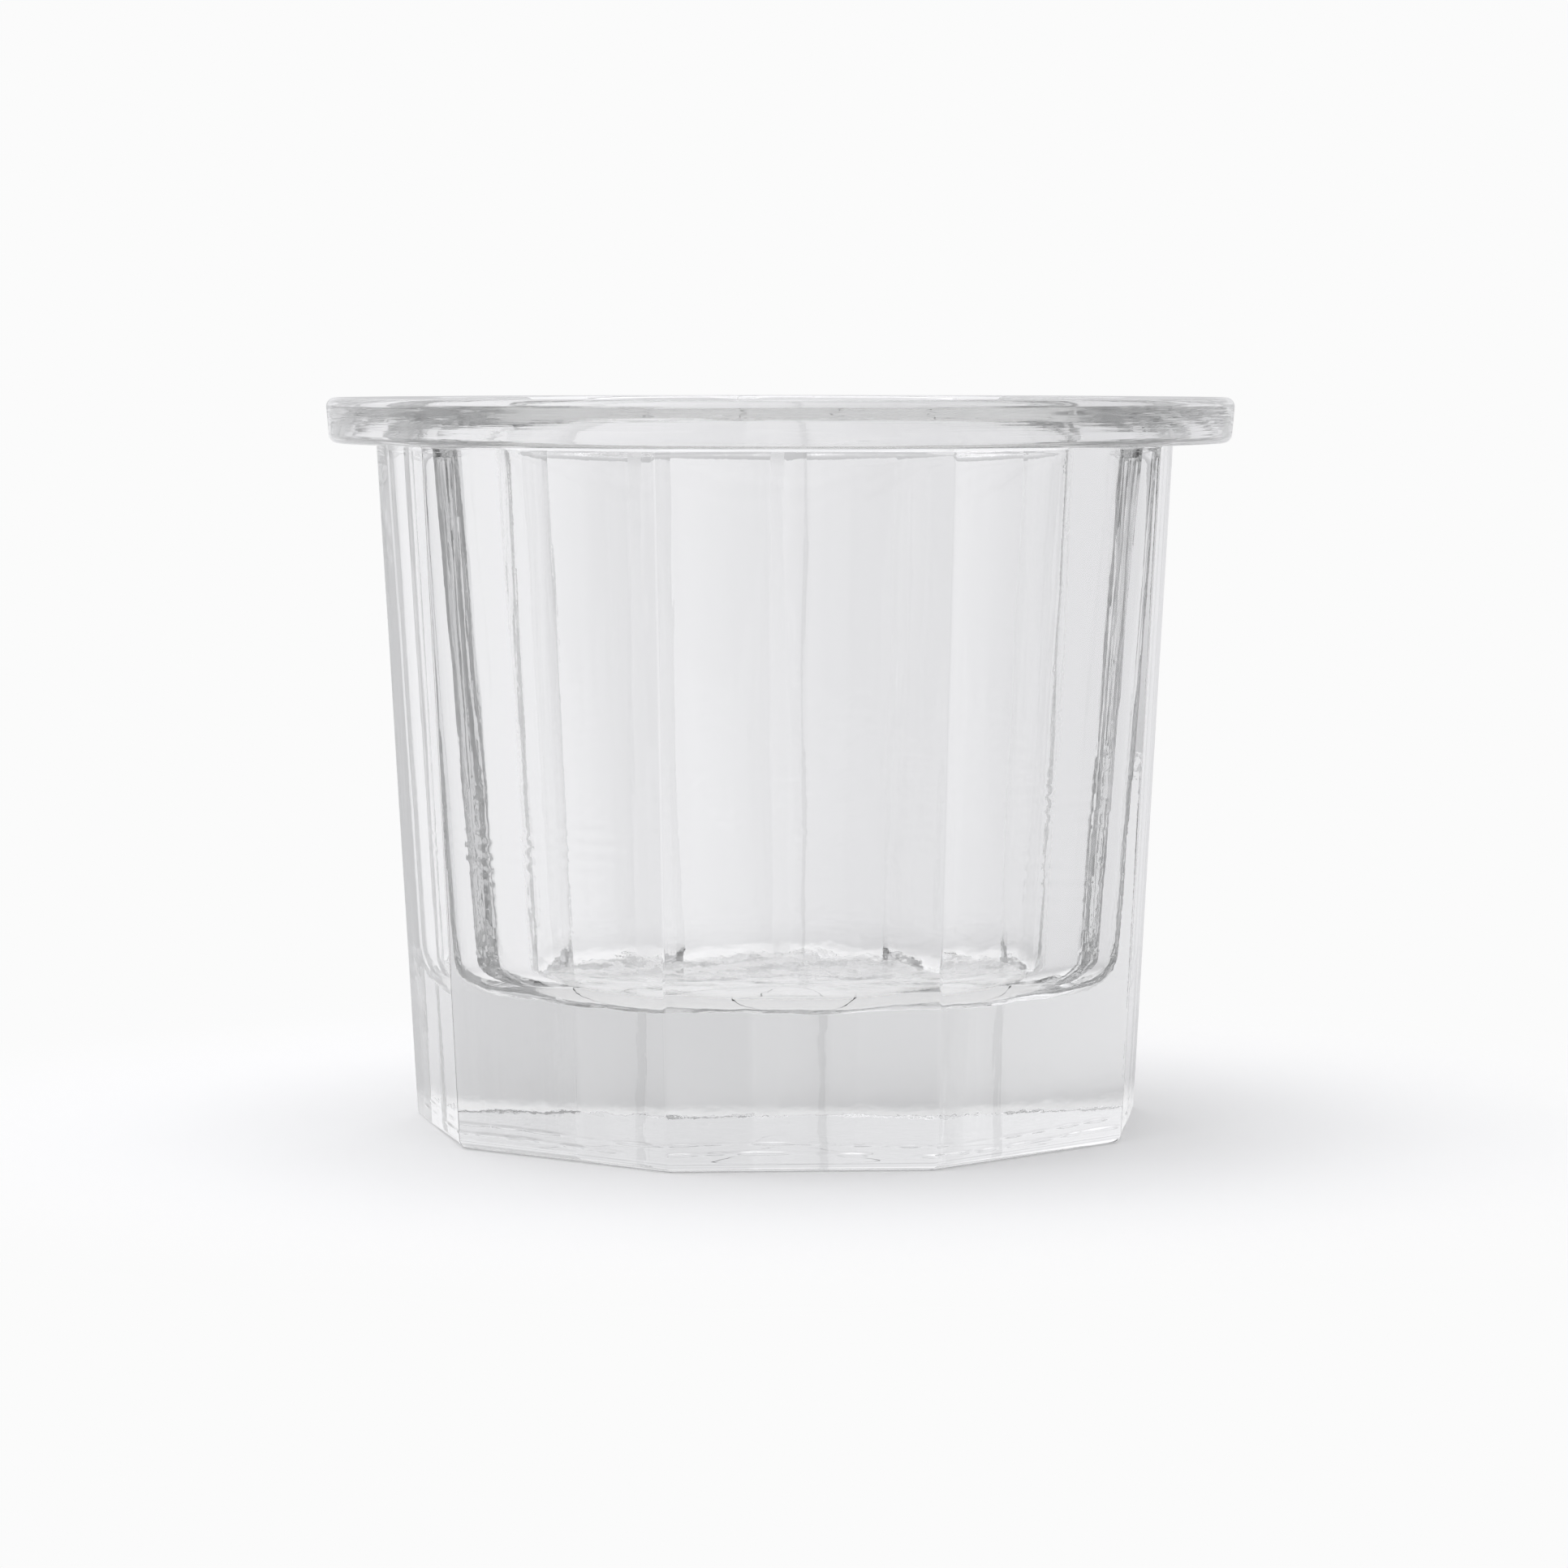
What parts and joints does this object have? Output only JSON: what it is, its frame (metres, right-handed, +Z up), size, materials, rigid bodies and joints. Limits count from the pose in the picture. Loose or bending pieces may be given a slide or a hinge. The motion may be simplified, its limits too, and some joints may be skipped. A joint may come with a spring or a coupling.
{
  "type": "tealight holder",
  "caption": "Clear pressed-glass tealight holder with a flat round rim, flat-sided tapered body, round cavity and thick solid base.",
  "frame": {"origin": "centre of the underside, on the surface the holder stands on", "axes": "+Z up through the middle of the cavity and out of its mouth; one flat side of the body faces -Y and the fluted corner faces +Y"},
  "size_m": [0.075, 0.075, 0.0602],
  "materials": {
    "clear_glass": "clear, fire-polished"
  },
  "bodies": {
    "root": {"glass_holder": "clear_glass"}
  },
  "joints": []
}
